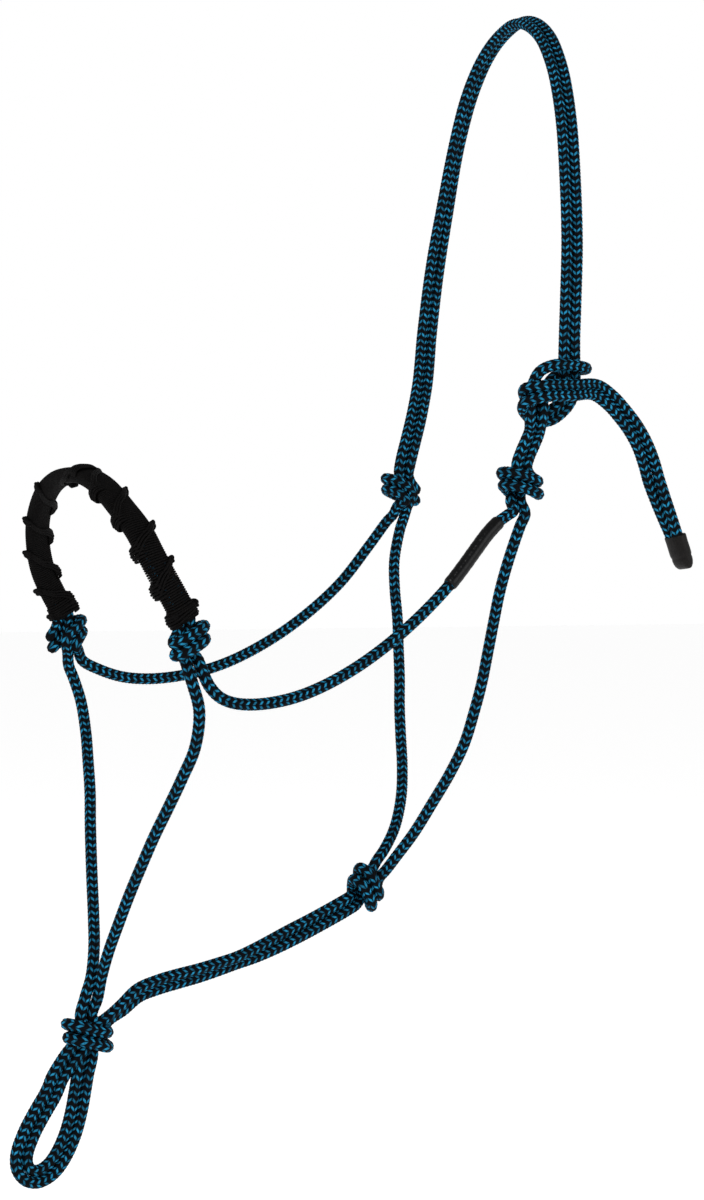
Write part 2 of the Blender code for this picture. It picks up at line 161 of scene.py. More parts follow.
CHIN_FAR = (
    (-0.2476, 0.082, -0.3649), (-0.2445, 0.0825, -0.372), (-0.2405, 0.0815, -0.385),
    (-0.24, 0.0755, -0.402), (-0.2425, 0.066, -0.4185), (-0.2457, 0.0555, -0.4345),
    (-0.2497, 0.0455, -0.4505), (-0.2532, 0.036, -0.4665), (-0.2565, 0.0265, -0.4825),
    (-0.2595, 0.0175, -0.4985), (-0.263, 0.0085, -0.5145), (-0.2672, 0.0025, -0.529),
    (-0.2715, 0.0005, -0.5394),
)

JAW = (
    (-0.1155, 0, -0.4995), (-0.129, 0, -0.5055), (-0.1435, 0, -0.5115), (-0.174, 0, -0.523),
    (-0.204, 0, -0.5305), (-0.228, 0, -0.535), (-0.242, 0, -0.5395), (-0.2504, 0, -0.5462),
)

JAW_SIDES = (
    (-0.2, 0, 1), (-0.2, 0.1, 1), (-0.2, -0.7, 0.8), (0.1, -0.5, 1), (0.5, -0.3, 0.8),
)

LOOP = (
    (-0.2878, 0, -0.581), (-0.2912, 0, -0.5885), (-0.2977, 0, -0.5985), (-0.3043, 0, -0.61),
    (-0.308, 0, -0.6215), (-0.3058, 0, -0.6293), (-0.299, 0, -0.632), (-0.2918, 0, -0.629),
    (-0.286, 0, -0.6225), (-0.2804, 0, -0.6115), (-0.277, 0, -0.6003), (-0.2748, 0, -0.5895),
    (-0.2732, 0, -0.5805),
)

LOOP_SIDES = (
    (-1, 0, 0.4), (-1, 0, 0.3), (-1, 0, 0.2), (-1, 0, 0), (-0.4, 0, -1), (0.2, 0, -1), (1, 0, -0.7),
    (1, 0, -0.3), (1, 0, -0.1), (1, 0, 0),
)

# A doubled overhand knot as a pair of strands: the middle of the pair (across, toward the face, up)
# and the way from strand 1 to strand 2. Strand spacings are added along the second vector.
OVERHAND = (
    ((-0.0003, 0.0, 0.009), (1.0, 0.0, 0.0)),
    ((-0.004, 0.0003, 0.0015), (0.7, 0.0, -0.7)),
    ((-0.009, 0.0012, -0.004), (0.1, 0.0, -1.0)),
    ((-0.0056, 0.0062, -0.0028), (0.1, 0.0, -1.0)),
    ((0.0, 0.007, 0.0), (0.3, 0.0, -1.0)),
    ((0.0056, 0.0062, 0.0028), (0.1, 0.0, -1.0)),
    ((0.009, 0.0, 0.004), (0.0, 0.0, -1.0)),
    ((0.005, -0.006, 0.0015), (0.1, 0.0, -1.0)),
    ((-0.0005, -0.0066, -0.0045), (0.8, 0.0, -0.6)),
    ((0.0, -0.0025, -0.010), (1.0, 0.0, 0.0)),
)

# The tie: the riser's eye, and the two crown strands hitched round its neck to become the tail.
TIE_EYE = (
    (-0.0410, -0.0765, -0.2265), (-0.0418, -0.0790, -0.2180), (-0.0414, -0.0800, -0.2105),
    (-0.0386, -0.0830, -0.2030), (-0.0315, -0.0860, -0.1994), (-0.0215, -0.0865, -0.1990),
    (-0.0115, -0.0845, -0.1997), (-0.0063, -0.0790, -0.2003), (-0.0070, -0.0730, -0.2004),
    (-0.0145, -0.0712, -0.2017), (-0.0246, -0.0728, -0.2060), (-0.0318, -0.0760, -0.2150),
    (-0.0332, -0.0768, -0.2262),
)
TIE_UPPER = (
    (-0.0206, -0.0790, -0.1960), (-0.0205, -0.0790, -0.2030), (-0.0193, -0.0780, -0.2111),
    (-0.0213, -0.0760, -0.2187), (-0.0272, -0.0720, -0.2240), (-0.0349, -0.0705, -0.2222),
    (-0.0424, -0.0735, -0.2165), (-0.0462, -0.0800, -0.2124), (-0.0405, -0.0858, -0.2111),
    (-0.0305, -0.0865, -0.2103), (-0.0176, -0.0857, -0.2097),
)
TIE_LOWER = (
    (-0.0136, -0.0790, -0.1960), (-0.0134, -0.0790, -0.2030), (-0.0130, -0.0780, -0.2120),
    (-0.0161, -0.0760, -0.2208), (-0.0246, -0.0720, -0.2286), (-0.0349, -0.0705, -0.2288),
    (-0.0436, -0.0740, -0.2240), (-0.0466, -0.0805, -0.2200), (-0.0398, -0.0860, -0.2172),
    (-0.0308, -0.0868, -0.2162), (-0.0192, -0.0862, -0.2157),
)
# Inside the chin knot, the jaw strands pass through to the left side of the lead loop.
CHIN_CORE = ((-0.2575, 0.0, -0.5508), (-0.2680, 0.0, -0.5590), (-0.2790, 0.0, -0.5690))
CHIN_CORE_SIDES = ((-0.3, -0.8, 0.5), (-0.6, -0.4, 0.6), (-0.8, 0.0, 0.6))


# ---------------------------------------------------------------- lines
def smooth(points, step):
    """Evenly spaced points on a centripetal Catmull-Rom curve, and how far along it each given
    point is."""
    pts = np.array([np.array(p, float) for p in points])
    pts = np.vstack((2 * pts[0] - pts[1], pts, 2 * pts[-1] - pts[-2]))
    fine, u = [], np.linspace(0, 1, 24, endpoint=False)[:, None]
    for a, b, c, d in zip(pts, pts[1:], pts[2:], pts[3:]):
        t1 = math.sqrt(np.linalg.norm(b - a))
        t2 = t1 + math.sqrt(np.linalg.norm(c - b))
        t3 = t2 + math.sqrt(np.linalg.norm(d - c))
        t = t1 + (t2 - t1) * u
        ab = a + (b - a) * t / t1
        bc = b + (c - b) * (t - t1) / (t2 - t1)
        cd = c + (d - c) * (t - t2) / (t3 - t2)
        abc = ab + (bc - ab) * t / t2
        bcd = bc + (cd - bc) * (t - t1) / (t3 - t1)
        fine.append(abc + (bcd - abc) * (t - t1) / (t2 - t1))
    fine = np.vstack(fine + [pts[-2]])
    gone = np.concatenate(([0.0], np.cumsum(np.linalg.norm(np.diff(fine, axis=0), axis=1))))
    count = max(2, round(gone[-1] / step))
    want = np.linspace(0, gone[-1], count + 1)
    out = np.stack([np.interp(want, gone, fine[:, k]) for k in range(3)], axis=1)
    return out, gone[::24]


def unit(v):
    return v / np.linalg.norm(v, axis=-1, keepdims=True)


def ways(path):
    """The direction of a path at each of its points."""
    path = np.asarray(path)
    d = np.empty_like(path)
    d[1:-1] = path[2:] - path[:-2]
    d[0], d[-1] = path[1] - path[0], path[-1] - path[-2]
    return unit(d)


def square_to(sides, path):
    """The given directions, spread evenly along the path and turned square to it."""
    sides = np.atleast_2d(np.array(sides, float))
    at = np.linspace(0, len(sides) - 1, len(path))
    s = np.stack([np.interp(at, range(len(sides)), sides[:, k]) for k in range(3)], axis=1)
    t = ways(path)
    return unit(s - t * (s * t).sum(1, keepdims=True))


def beside(path, sides, offset):
    return path + square_to(sides, path) * offset


def mirrored(points):
    return [(p[0], -p[1], p[2]) for p in points]


def overhand(middle, turn, tilt=None, face=-1.0, wide=1.0, spread=1.0, flip=1.0):
    """The two strands of a doubled overhand knot, the front one first. turn and tilt, in degrees
    about Y, are of its two ends and of what is between them. face -1 looks to the near side, spread
    parts the strands at the lobes, and flip -1 sends them round the other way."""
    both = []
    for side in (-1.0, 1.0):
        route = []
        for k, (at, offset) in enumerate(OVERHAND):
            angle = math.radians(turn if k in (0, len(OVERHAND) - 1) or tilt is None else tilt)
            across = np.array((math.cos(angle), 0, math.sin(angle)))
            up = np.array((-math.sin(angle), 0, math.cos(angle)))
            front = np.array((0, face, 0))
            a, b, c = np.array(at) * (wide, 0.5 + wide / 2, 1.0)
            apart = side * SPACING / 2 * (spread if k in (2, 3, 5, 6) else 1.0)
            da, db, dc = np.array(offset) * apart / np.linalg.norm(offset)
            route.append(middle + across * (a + da) * flip + front * (b + db) + up * (c + dc))
        both.append(np.array(route))
    return both[::int(flip)]


# ---------------------------------------------------------------- the rope's whole route
def pair(points, sides, step, half=SPACING / 2):
    """Both strands of a doubled run: the one on the far side of its offset, then the other."""
    line = smooth(points, step)[0]
    return beside(line, sides, -half), beside(line, sides, half)


crown_rear, crown_front = pair(CROWN, CROWN_SIDES, 0.013)
riser_rear, riser_front = pair(RISER, FORE, 0.009)
tail_front, tail_rear = (np.vstack((strand, strand[-1] + ways(strand)[-1] * INTO_CAP))
                         for strand in pair(TAIL, TAIL_SIDES, 0.010))
nose_line = list(NOSE) + mirrored(NOSE[:-1])[::-1]
nose_front, nose_rear = pair(nose_line, NOSE_SIDES, 0.008, NOSE_HALF)
jaw_lower, jaw_upper = pair(JAW, JAW_SIDES, 0.012)
loop_inner, loop_outer = pair(LOOP, LOOP_SIDES, 0.005)
core_lower, core_upper = pair(CHIN_CORE, CHIN_CORE_SIDES, 0.008)
near_cheek, far_cheek = np.array(NEAR_CHEEK), np.array(FAR_CHEEK)
near_throat = np.array(THROAT_ROPE + THROAT_NEAR)
far_throat = np.array(mirrored(THROAT_ROPE) + list(THROAT_FAR))
near_chin, far_chin = np.array(CHIN_NEAR), np.array(CHIN_FAR)

cheek_near = overhand(CHEEK + (-0.001, -CHEEK_Y, 0), -6.0, 9.0, wide=1.12, spread=1.1, flip=-1.0)
cheek_far = overhand(CHEEK + (0.001, CHEEK_Y, 0), -6.0, 4.0, face=1.0, wide=1.08, flip=-1.0)
side_near = overhand(SIDE + (0, -SIDE_Y, 0), 14.0, 2.0, wide=0.95)
side_far = overhand(SIDE + (0, SIDE_Y, 0), 14.0, 4.0, face=1.0)
throat = overhand(THROAT, -42.0, -32.0, wide=0.95, spread=1.15, flip=-1.0)
chin = overhand(CHIN, 6.0, 6.0, wide=1.2, spread=1.2, flip=-1.0)
back = slice(None, None, -1)

# Each row: what the stretch is part of, its name there, and its points. A name that is a CAD node is
# a run, and its ends are where the rope is cut. The rest is inside the knot that it names.
ROUTE = (
    ("tail_rope_rear", tail_rear[back]),
    ("tie_knot", np.array(TIE_UPPER)[back]),
    ("crown_rope_front", crown_front[back]),
    ("cheek_knot_far", cheek_far[0]),
    ("cheek_rope_far", far_cheek),
    ("side_knot_far", side_far[1][back]),
    ("nose_rope_rear", nose_rear[back]),
    ("side_knot_near", side_near[1]),
    ("cheek_rope_near", near_cheek[back]),
    ("cheek_knot_near", cheek_near[0][back]),
    ("riser_rope_front", riser_front),
    ("tie_knot", np.array(TIE_EYE)),
    ("riser_rope_rear", riser_rear[back]),
    ("cheek_knot_near", cheek_near[1]),
    ("throat_rope_near", near_throat),
    ("throat_knot", throat[1]),
    ("jaw_rope_lower", jaw_lower),
    ("chin_knot", core_lower),
    ("lead_loop_inner", loop_inner),
    ("chin_knot", chin[0][back]),
    ("chin_rope_far", far_chin[back]),
    ("side_knot_far", side_far[0][back]),
    ("nose_rope_front", nose_front[back]),
    ("side_knot_near", side_near[0]),
    ("chin_rope_near", near_chin),
    ("chin_knot", chin[1]),
    ("lead_loop_outer", loop_outer[back]),
    ("chin_knot", core_upper[back]),
    ("jaw_rope_upper", jaw_upper[back]),
    ("throat_knot", throat[0][back]),
    ("throat_rope_far", far_throat[back]),
    ("cheek_knot_far", cheek_far[1][back]),
    ("crown_rope_rear", crown_rear),
    ("tie_knot", np.array(TIE_LOWER)),
    ("tail_rope_front", tail_front),
)


# ---------------------------------------------------------------- laying the rope
def lay_rope():
    """Rings of the whole rope: their middles, the frame that the braid turns with, and where each
    stretch of ROUTE starts and ends among them."""
    points, first = [], []
    for _, stretch in ROUTE:
        first.append(len(points))
        points += list(stretch)
    line, at = smooth(points, RING)
    step = at[-1] / (len(line) - 1)
    t = ways(line)
    side = np.empty_like(line)
    side[0] = unit(np.cross(t[0], (0, 1, 0)))
    for i in range(1, len(line)):
        s = side[i - 1] - t[i] * np.dot(side[i - 1], t[i])
        side[i] = s / math.sqrt(np.dot(s, s))
    ring_at = [int(round(a / step)) for a in at]
    spans = [(ring_at[k], ring_at[k + len(s) - 1]) for k, (_, s) in zip(first, ROUTE)]
    return line, side, np.cross(t, side), spans


line, side, over, spans = lay_rope()
runs = {name for name, _ in ROUTE if "_rope_" in name or name.startswith("lead_loop")}


def braid_height(u, v):
    """How far out the surface is, 0 to 1, at u columns round and v stitches along."""
    f = u - np.floor(u)
    lean = 1 - 2 * (np.floor(u) % 2)
    w = v + lean * (f - 0.5)
    g = w - np.floor(w)
    stitch = np.sin(math.pi * g) ** 0.6
    column = np.sin(math.pi * np.clip(f, 0.0, 1.0)) ** 0.5
    return stitch * (0.35 + 0.65 * column)


def rope_rings(a, b, radius):
    """Corners of the rope from ring a to ring b, and their places in the braid."""
    u = np.arange(ROUND) * COLUMNS / ROUND
    v = np.arange(a, b + 1)[:, None] * RING / STITCH
    out = radius - RELIEF * (1 - braid_height(np.broadcast_to(u + 1e-6, (b + 1 - a, ROUND)), v))
    ang = 2 * math.pi * u / COLUMNS
    ray = side[a:b + 1, None] * np.cos(ang)[:, None] + over[a:b + 1, None] * np.sin(ang)[:, None]
    return line[a:b + 1, None] + ray * out[..., None], v[:, 0]


def braided(name, parts, radius=ROPE_R):
    """One mesh of the rope between the given pairs of rings, each stretch an open tube."""
    verts, faces, uvs, base = [], [], [], 0
    for a, b in parts:
        rings, v = rope_rings(a, b, radius)
        rows = b - a
        verts.append(rings.reshape(-1, 3))
        j, i = np.meshgrid(np.arange(rows), np.arange(ROUND), indexing="ij")
        k = (i + 1) % ROUND
        quad = np.stack((j * ROUND + i, j * ROUND + k, (j + 1) * ROUND + k, (j + 1) * ROUND + i), -1)
        faces.append(quad.reshape(-1, 4) + base)
        u0, u1 = i * COLUMNS / ROUND, (i + 1) * COLUMNS / ROUND
        uv = np.stack((np.stack((u0, u1, u1, u0), -1), np.stack((v[j], v[j], v[j + 1], v[j + 1]), -1)), -1)
        uvs.append(uv.reshape(-1, 2))
        base += rings.shape[0] * ROUND
    return mesh_object(name, np.vstack(verts), np.vstack(faces), rope_mat, np.vstack(uvs))


def mesh_object(name, verts, quads, mat, uv=None):
    """A smooth mesh of quads."""
    me = bpy.data.meshes.new(name)
    me.vertices.add(len(verts))
    me.vertices.foreach_set("co", np.asarray(verts, np.float32).ravel())
    me.loops.add(len(quads) * 4)
    me.loops.foreach_set("vertex_index", np.asarray(quads, np.int32).ravel())
    me.polygons.add(len(quads))
    me.polygons.foreach_set("loop_start", np.arange(0, len(quads) * 4, 4, dtype=np.int32))
    if uv is not None:
        me.uv_layers.new(name="Braid").data.foreach_set("uv", np.asarray(uv, np.float32).ravel())
    me.update(calc_edges=True)
    me.validate()
    me.shade_smooth()
    me.materials.append(mat)
    ob = bpy.data.objects.new(name, me)
    bpy.context.scene.collection.objects.link(ob)
    return ob


# ---------------------------------------------------------------- materials
class Shader:
    """A Principled material with a short way to chain math nodes."""

    def __init__(self, name, roughness, specular=0.3, sheen=0.0):
        self.mat = bpy.data.materials.new(name)
        self.mat.use_nodes = True
        self.tree = self.mat.node_tree
        self.bsdf = self.tree.nodes["Principled BSDF"]
        self.bsdf.inputs["Roughness"].default_value = roughness
        self.bsdf.inputs["Specular IOR Level"].default_value = specular
        self.bsdf.inputs["Sheen Weight"].default_value = sheen
        self.bsdf.inputs["Sheen Roughness"].default_value = 0.4

    def node(self, kind, **settings):
        made = self.tree.nodes.new("ShaderNode" + kind)
        for key, value in settings.items():
            setattr(made, key, value)
        return made

    def put(self, socket, value):
        if isinstance(value, (int, float, tuple)):
            socket.default_value = value
        else:
            self.tree.links.new(value, socket)

    def math(self, operation, *values):
        made = self.node("Math", operation=operation)
        for socket, value in zip(made.inputs, values):
            self.put(socket, value)
        return made.outputs[0]

    def ramp(self, value, low, high, to_low=0.0, to_high=1.0):
        made = self.node("MapRange", interpolation_type="SMOOTHSTEP")
        for key, v in zip(("Value", "From Min", "From Max", "To Min", "To Max"),
                          (value, low, high, to_low, to_high)):
            self.put(made.inputs[key], v)
        return made.outputs["Result"]

    def mix(self, share, a, b, how="MIX"):
        made = self.node("Mix", data_type="RGBA", blend_type=how)
        self.put(made.inputs["Factor"], share)
        self.put(made.inputs["A"], a)
        self.put(made.inputs["B"], b)
        return made.outputs["Result"]

    def noise(self, vector, scale, detail=2.0, rough=0.5):
        made = self.node("TexNoise")
        self.put(made.inputs["Scale"], scale)
        self.put(made.inputs["Detail"], detail)
        self.put(made.inputs["Roughness"], rough)
        if vector is not None:
            self.put(made.inputs["Vector"], vector)
        return made.outputs["Fac"]

    def place(self):
        return self.node("TexCoord").outputs["Object"]

    def bump(self, height, distance, strength=1.0):
        made = self.node("Bump")
        self.put(made.inputs["Height"], height)
        made.inputs["Distance"].default_value = distance
        made.inputs["Strength"].default_value = strength
        self.tree.links.new(made.outputs["Normal"], self.bsdf.inputs["Normal"])

    def colour(self, value):
        self.put(self.bsdf.inputs["Base Color"], value)
        return self.mat


TEAL = (0.009, 0.160, 0.320, 1.0)
# Brighter teal of the fibres: partly their own varied tone, partly painted highlights of fibre gloss.
TEAL_TONE_AND_HIGHLIGHT = (0.034, 0.400, 0.680, 1.0)
BLACK = (0.0028, 0.0032, 0.0046, 1.0)
# Near black that the rope darkens toward: painted shade in the grooves between stitches and columns, and a
# darker tone in random patches and stitches.
DARK = (0.0010, 0.0014, 0.0022, 1.0)


def rope_material():
    """A braid of alternating teal and black carriers, from the mesh's own columns and stitches, with painted
    shade in the grooves between them and painted highlights on the teal fibres.
    """
    sh = Shader("halter_rope", 0.62, specular=0.04)
    split = sh.node("SeparateXYZ")
    sh.tree.links.new(sh.node("UVMap", uv_map="Braid").outputs[0], split.inputs[0])
    u, v = split.outputs[0], split.outputs[1]
    f = sh.math("FRACT", u)
    lean = sh.math("SUBTRACT", 1.0, sh.math("MULTIPLY", sh.math("MODULO", sh.math("FLOOR", u), 2.0), 2.0))
    w = sh.math("ADD", v, sh.math("MULTIPLY", lean, sh.math("SUBTRACT", f, 0.5)))
    g = sh.math("FRACT", w)
    black = sh.math("FLOORED_MODULO", sh.math("FLOOR", w), 2.0)
    # Fibres run along each stitch: fine across it, long along it.
    fibre_at = sh.node("CombineXYZ")
    sh.put(fibre_at.inputs[0], sh.math("MULTIPLY", u, 1.6))
    sh.put(fibre_at.inputs[1], sh.math("MULTIPLY", w, 11.0))
    sh.put(fibre_at.inputs[2], sh.math("MULTIPLY", v, 0.35))
    fibre = sh.noise(fibre_at.outputs[0], 1.0, 3.0, 0.6)
    patch = sh.noise(sh.place(), 620.0, 2.0)
    stitch_at = sh.node("CombineXYZ")
    sh.put(stitch_at.inputs[0], sh.math("FLOOR", u))
    sh.put(stitch_at.inputs[1], sh.math("FLOOR", w))
    chance = sh.node("TexWhiteNoise", noise_dimensions="2D")
    sh.put(chance.inputs["Vector"], stitch_at.outputs[0])
    # Fibre noise mixes the teal toward its brighter fibre colour: varied fibre tone with painted highlights.
    teal = sh.mix(sh.ramp(fibre, 0.35, 0.70), TEAL, TEAL_TONE_AND_HIGHLIGHT)
    both = sh.mix(black, teal, BLACK)
    # Painted shade: edge and rim fall toward 0 at the borders between stitches and between columns, and
    # there the colour is darkened as if those grooves lay in shade.
    edge = sh.math("MULTIPLY", sh.math("MINIMUM", g, sh.math("SUBTRACT", 1.0, g)), 2.0)
    rim = sh.math("MULTIPLY", sh.math("MINIMUM", f, sh.math("SUBTRACT", 1.0, f)), 2.0)
    groove_shade_and_tone = sh.math("MULTIPLY", sh.ramp(edge, 0.02, 0.62), sh.ramp(rim, 0.02, 0.62))
    # Random darker tone, not shade: noise patches and single stitches darken at random.
    groove_shade_and_tone = sh.math("MULTIPLY", groove_shade_and_tone, sh.ramp(patch, 0.30, 0.62, 0.6, 1.0))
    groove_shade_and_tone = sh.math("MULTIPLY", groove_shade_and_tone, sh.ramp(chance.outputs["Value"], 0.0, 0.8, 0.45, 1.0))
    sh.bump(sh.math("ADD", sh.math("MULTIPLY", fibre, 0.6), sh.math("MULTIPLY", edge, 0.4)), 0.00025, 0.6)
    return sh.colour(sh.mix(groove_shade_and_tone, DARK, both))


def cord_material():
    sh = Shader("whipping_cord", 0.68, specular=0.04)
    grain = sh.noise(sh.place(), 2600.0, 3.0)
    patch = sh.noise(sh.place(), 420.0, 2.0)
    tint = sh.mix(sh.ramp(grain, 0.42, 0.78), (0.0018, 0.0016, 0.0016, 1), (0.0115, 0.0100, 0.0095, 1))
    sh.bump(grain, 0.0002, 0.5)
    return sh.colour(sh.mix(sh.ramp(patch, 0.3, 0.7, 0.0, 0.35), tint, (0.0032, 0.0032, 0.0038, 1)))


def shrink_material():
    sh = Shader("shrink_tube", 0.27, specular=0.16)
    sh.bump(sh.noise(sh.place(), 260.0, 2.0), 0.0003, 0.35)
    return sh.colour((0.0025, 0.0025, 0.0028, 1))


def cap_material():
    sh = Shader("crimped_cap", 0.42, specular=0.12)
    grain = sh.noise(sh.place(), 900.0, 3.0)
    sh.bump(grain, 0.0002, 0.35)
    low, high = (0.0040, 0.0034, 0.0031, 1), (0.0080, 0.0066, 0.0060, 1)
    return sh.colour(sh.mix(sh.ramp(grain, 0.4, 0.7), low, high))


rope_mat, cord_mat = rope_material(), cord_material()
shrink_mat, cap_mat = shrink_material(), cap_material()

# ---------------------------------------------------------------- pieces of rope
BODIES = frame["record"]["behaviour"]["bodies"]
BODY = {node: body for body, nodes in BODIES.items() for node in nodes}


def drop(x=None, z=None):
    """A point that only its x or its z matters of, for the start or end of a bend."""
    return (x or 0.0, 0.0, z or 0.0)


# Runs that bend from the body they come from to the one they belong to, with the two bodies and where each
# bend starts and ends. No bend is made here: such runs keep their baked place and ride no body.
BENDS = {
    "crown_rope": ("crown", "cheeks", drop(z=-0.216), drop(z=-0.249)),
    "riser_rope": ("crown", "cheeks", drop(z=-0.2365), drop(z=-0.2478)),
    "nose_rope": ("noseband", "cheeks", drop(z=-0.316), drop(z=-0.3345)),
    "throat_rope": ("cheeks", "throat", drop(z=-0.2790), drop(z=-0.300)),
    "chin_rope": ("cheeks", "chin", drop(z=-0.3630), drop(z=-0.384)),
    "jaw_rope": ("throat", "jaw", drop(x=-0.112), drop(x=-0.142)),
    "lead_loop": ("chin", "lead_loop", drop(z=-0.5760), drop(z=-0.600)),
}


def bend_or_ride(ob, node):
    for key, (a, b, start, end) in BENDS.items():
        if node.startswith(key):
            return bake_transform(ob)
    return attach(ob, BODY[node])


knots = {}
for (node, _), (a, b), before, after in zip(
        ROUTE, spans, [(0, 0)] + spans[:-1], spans[1:] + [(len(line) - 1,) * 2]):
    if node not in runs:
        knots.setdefault(node, []).append((before[1], after[0]))
        continue
    ob = braided(f"braid_{node}", [(a, b)], NOSE_R if node.startswith("nose") else ROPE_R)
    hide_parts(node)
    if node.startswith("tail"):
        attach(ob, "crown")
    else:
        bend_or_ride(ob, node)
for node, parts in knots.items():
    ob = braided(f"braid_{node}", parts)
    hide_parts(node)
    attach(ob, BODY[node])


# ---------------------------------------------------------------- cords and tubes
def frames(path, start=(0.31, 0.17, 0.94)):
    """Two directions square to the path at each point, which turn with it as little as they can."""
    t = ways(path)
    a = np.empty_like(t)
    a[0] = unit(np.cross(t[0], start))
    for i in range(1, len(t)):
        s = a[i - 1] - t[i] * np.dot(a[i - 1], t[i])
        a[i] = s / math.sqrt(np.dot(s, s))
    return a, np.cross(t, a)


def tubes(name, strands, mat, corners=8):
    """One mesh of round tubes. Each strand is its path and its radius, one or one for each point."""
    verts, faces, base = [], [], 0
    turn = np.linspace(0, 2 * math.pi, corners, endpoint=False)
    for path, radius in strands:
        a, b = frames(path)
        r = np.broadcast_to(np.asarray(radius, float), (len(path),)).copy()
        ring = a[:, None] * np.cos(turn)[:, None] + b[:, None] * np.sin(turn)[:, None]
        verts.append((path[:, None] + ring * r[:, None, None]).reshape(-1, 3))
        j, i = np.meshgrid(np.arange(len(path) - 1), np.arange(corners), indexing="ij")
        k = (i + 1) % corners
        quad = np.stack((j * corners + i, j * corners + k, (j + 1) * corners + k, (j + 1) * corners + i), -1)
        faces.append(quad.reshape(-1, 4) + base)
        base += len(path) * corners
    return mesh_object(name, np.vstack(verts), np.vstack(faces), mat)


# ---------------------------------------------------------------- noseband whipping
nose_run = smooth(nose_line, 0.0005)[0]
nose_side = square_to(NOSE_SIDES, nose_run)  # from the front strand to the rear one
more = np.arange(0.0005, INTO_KNOT, 0.0005)[:, None]
nose_run = np.vstack((nose_run[0] - ways(nose_run)[0] * more[::-1], nose_run,
                      nose_run[-1] + ways(nose_run)[-1] * more))
nose_side = np.vstack((nose_side[:1].repeat(len(more), 0), nose_side, nose_side[-1:].repeat(len(more), 0)))
nose_face = np.cross(ways(nose_run), nose_side)
nose_long = np.linalg.norm(np.diff(nose_run, axis=0), axis=1).sum()
FRONT, REAR = 0.0, 0.5  # edges of the noseband, as turns round it


def on_noseband(s, turn, out):
    """Points round the two nose strands: s is the share of the whipping's length, turn is in whole
    turns round it from its front edge, and out is how far above the strands."""
    s, turn, out = np.broadcast_arrays(np.asarray(s, float), turn, out)
    c, d = np.cos(2 * math.pi * turn), np.sin(2 * math.pi * turn)
    across = -(NOSE_HALF + NOSE_R + out) * np.sign(c) * np.abs(c) ** 0.75
    away = (NOSE_R + out) * np.sign(d) * np.abs(d) ** 0.62
    k = np.clip(s, 0, 1) * (len(nose_run) - 1)
    at, wide, high = (np.stack([np.interp(k, range(len(t)), t[:, i]) for i in range(3)], axis=1)
                      for t in (nose_run, nose_side, nose_face))
    return at + wide * across[:, None] + high * away[:, None]


# Each hitch: where its small knot and its lobe are along the whipping, and the knot's edge.
HITCHES = (
    (0.022, 0.014, REAR), (0.122, 0.078, REAR), (0.204, 0.157, REAR), (0.318, 0.235, REAR),
    (0.440, 0.329, REAR), (0.540, 0.430, 0.32), (0.620, 0.722, FRONT), (0.741, 0.816, FRONT),
    (0.835, 0.906, FRONT), (0.922, 0.972, FRONT), (0.984, 0.989, FRONT),
)


PER_TURN = 24  # points in one turn of the whipping cord


def whipping():
    """The wound cord, and a second layer of it near each end of the noseband."""
    turns = int(nose_long / WRAP_PITCH)
    at = np.linspace(0, 1, turns * PER_TURN + 1)
    strands = [(on_noseband(at, at * turns, WRAP_R), WRAP_R)]
    for start, end, layers in ((0.004, 0.034, 6), (0.966, 0.996, 6)):
        q = np.linspace(0, 1, layers * PER_TURN + 1)
        strands.append((on_noseband(start + (end - start) * q, q * layers, WRAP_R * 2.1), WRAP_R))
    return strands


def hitch(knot_at, lobe_at, edge):
    """Cords that cross from the small knot to the far edge and back on the other face, the bundle
    where they turn there, and the small knot."""
    strands, q = [], np.linspace(0, 1, 57)
    swing = 0.5 - 0.5 * np.cos(2 * math.pi * q)
    for row, lift in ((-1.0, 1.0), (0.0, 1.25), (1.0, 1.0)):
        s = knot_at + (lobe_at - knot_at) * swing + row * 1.25 * WRAP_PITCH / nose_long * (0.5 + swing)
        out = WRAP_R * (1.9 + 0.7 * lift) + 0.0008 * lift * swing ** 3
        strands.append((on_noseband(s, edge + q, out), WRAP_R * 1.08))
    bow = np.linspace(0.33, 0.67, 25)
    for row in (-2.4, -1.2, 0.0, 1.2, 2.4):
        rise = np.sin(math.pi * (bow - 0.33) / 0.34)
        s = lobe_at + row * WRAP_PITCH / nose_long + 0 * bow
        strands.append((on_noseband(s, edge + bow, WRAP_R * 2.2 + rise * (0.0021 - 0.00030 * abs(row))),
                        WRAP_R * 1.05))
    t = np.linspace(0, 2 * math.pi, 49)  # the small knot is a trefoil
    x = (np.sin(t) + 2 * np.sin(2 * t)) * 0.00050
    y = (np.cos(t) - 2 * np.cos(2 * t)) * 0.00036
    z = -np.sin(3 * t) * 0.0009
    strands.append((on_noseband(knot_at + x / nose_long, edge + z / 0.026, 0.0022 + y), WRAP_R * 1.6))
    return strands


def under_whipping():
    """A dark tube just under the turns, so that no gap shows through to the strands."""
    at, n = np.linspace(0, 1, 261), 28
    rings = np.stack([on_noseband(at, i / n, -0.0001) for i in range(n)], axis=1)
    j, i = np.meshgrid(np.arange(len(at) - 1), np.arange(n), indexing="ij")
    k = (i + 1) % n
    quads = np.stack((j * n + i, j * n + k, (j + 1) * n + k, (j + 1) * n + i), -1)
    return mesh_object("whipping_bed", rings.reshape(-1, 3), quads.reshape(-1, 4), cord_mat)


wrapped = tubes("whipping_turns", whipping(), cord_mat)
hitches = tubes("whipping_hitches", [s for h in HITCHES for s in hitch(*h)], cord_mat)
for ob in (wrapped, hitches, under_whipping()):
    bend_or_ride(ob, "nose_rope")
    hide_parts("nose_whipping")

